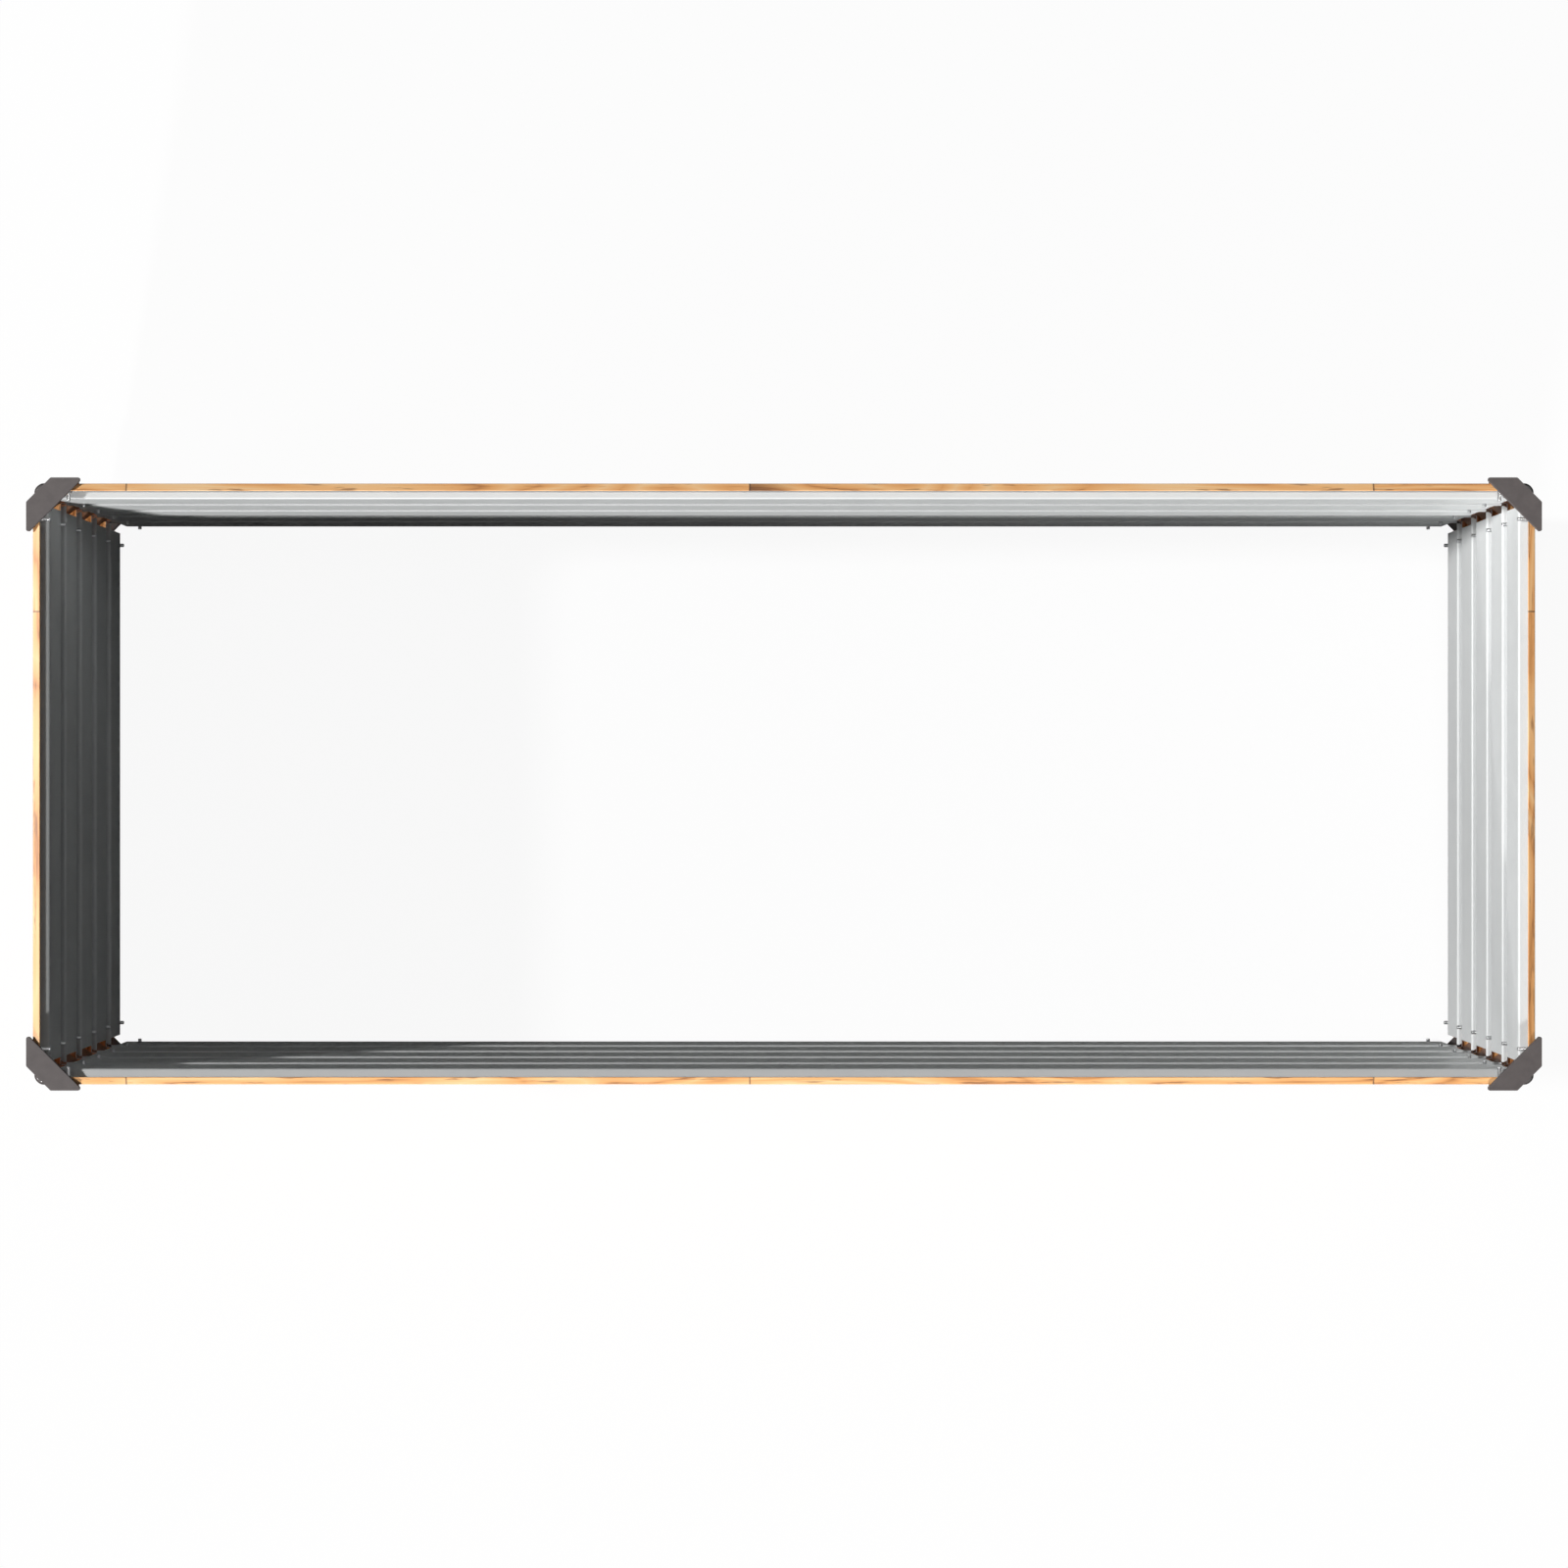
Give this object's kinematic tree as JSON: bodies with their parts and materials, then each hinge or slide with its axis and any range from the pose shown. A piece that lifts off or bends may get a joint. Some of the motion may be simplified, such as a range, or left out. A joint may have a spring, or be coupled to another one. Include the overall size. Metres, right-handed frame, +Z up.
{
  "type": "raised garden bed",
  "caption": "Bottomless rectangular raised garden bed of ribbed wood-look steel panels, bolted to corner posts with plastic caps and feet.",
  "frame": {"origin": "on the ground under the middle of the bed", "axes": "+X along the long side, +Y towards the back panel, +Z up"},
  "size_m": [2.0152, 0.8152, 0.456],
  "materials": {
    "panel_steel": "printed wood-look coat outside, light grey coat inside",
    "post_steel": "printed wood-look coat",
    "cap_plastic": "fine matte moulded",
    "foot_plastic": "fine matte moulded",
    "screw_head": "glossy dome",
    "zinc_bolts": "zinc plated",
    "zinc_washers": "zinc plated",
    "zinc_nuts": "zinc plated"
  },
  "bodies": {
    "root": {"panel_front": "panel_steel", "panel_back": "panel_steel", "panel_left": "panel_steel", "panel_right": "panel_steel", "post_front_left": "post_steel", "cap_front_left": "cap_plastic", "foot_front_left": "foot_plastic", "cap_screw_front_left": "screw_head", "cap_screw_nut_front_left": "zinc_nuts", "panel_bolts_front_left": "zinc_bolts", "panel_washers_front_left": "zinc_washers", "panel_nuts_front_left": "zinc_nuts", "post_front_right": "post_steel", "cap_front_right": "cap_plastic", "foot_front_right": "foot_plastic", "cap_screw_front_right": "screw_head", "cap_screw_nut_front_right": "zinc_nuts", "panel_bolts_front_right": "zinc_bolts", "panel_washers_front_right": "zinc_washers", "panel_nuts_front_right": "zinc_nuts", "post_back_right": "post_steel", "cap_back_right": "cap_plastic", "foot_back_right": "foot_plastic", "cap_screw_back_right": "screw_head", "cap_screw_nut_back_right": "zinc_nuts", "panel_bolts_back_right": "zinc_bolts", "panel_washers_back_right": "zinc_washers", "panel_nuts_back_right": "zinc_nuts", "post_back_left": "post_steel", "cap_back_left": "cap_plastic", "foot_back_left": "foot_plastic", "cap_screw_back_left": "screw_head", "cap_screw_nut_back_left": "zinc_nuts", "panel_bolts_back_left": "zinc_bolts", "panel_washers_back_left": "zinc_washers", "panel_nuts_back_left": "zinc_nuts"}
  },
  "joints": []
}
